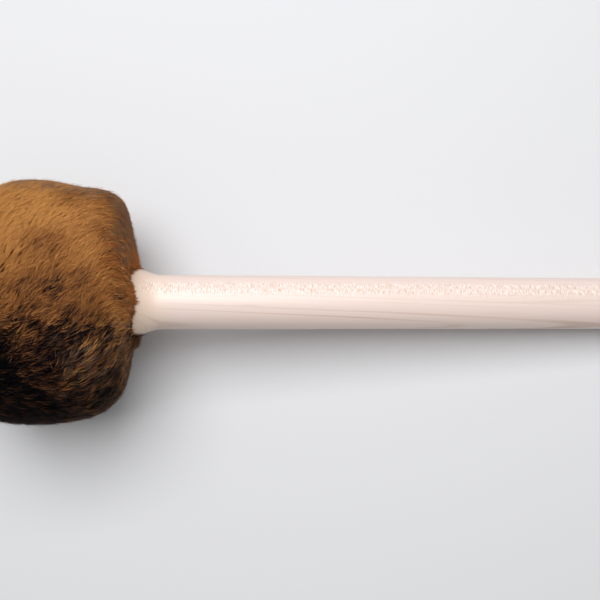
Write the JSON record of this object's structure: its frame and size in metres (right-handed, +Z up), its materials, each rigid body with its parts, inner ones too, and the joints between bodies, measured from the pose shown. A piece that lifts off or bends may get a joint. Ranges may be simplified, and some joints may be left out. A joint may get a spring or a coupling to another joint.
{
  "type": "gong mallet",
  "caption": "Gong mallet with a turned wooden handle, flared into a weighted, felt-wrapped head in a brown fur cover.",
  "frame": {"origin": "the point on the ground below the middle of the mallet's box, with the mallet lying at rest", "axes": "+X from the head towards the butt of the handle, along the ground; +Z up; +Y to the left of that"},
  "size_m": [0.3806, 0.109, 0.1075],
  "materials": {
    "maple": "fine-sanded, satin",
    "core_wood": "turned, bare",
    "weight_steel": "turned",
    "fixing_steel": "zinc plated",
    "felt": "pressed wool felt",
    "twine": "twisted cotton",
    "fleece": "soft wadding",
    "fur": "short brown fur, tan to dark brown"
  },
  "bodies": {
    "root": {"handle": "maple", "core": "core_wood", "weight_disc": "weight_steel", "end_washer": "fixing_steel", "end_screw": "fixing_steel", "felt_wrap": "felt", "binding_twine": "twine", "front_pad": "felt", "rear_pad": "felt", "wadding": "fleece", "fur_cover": "fur", "neck_cord": "twine"}
  },
  "joints": []
}
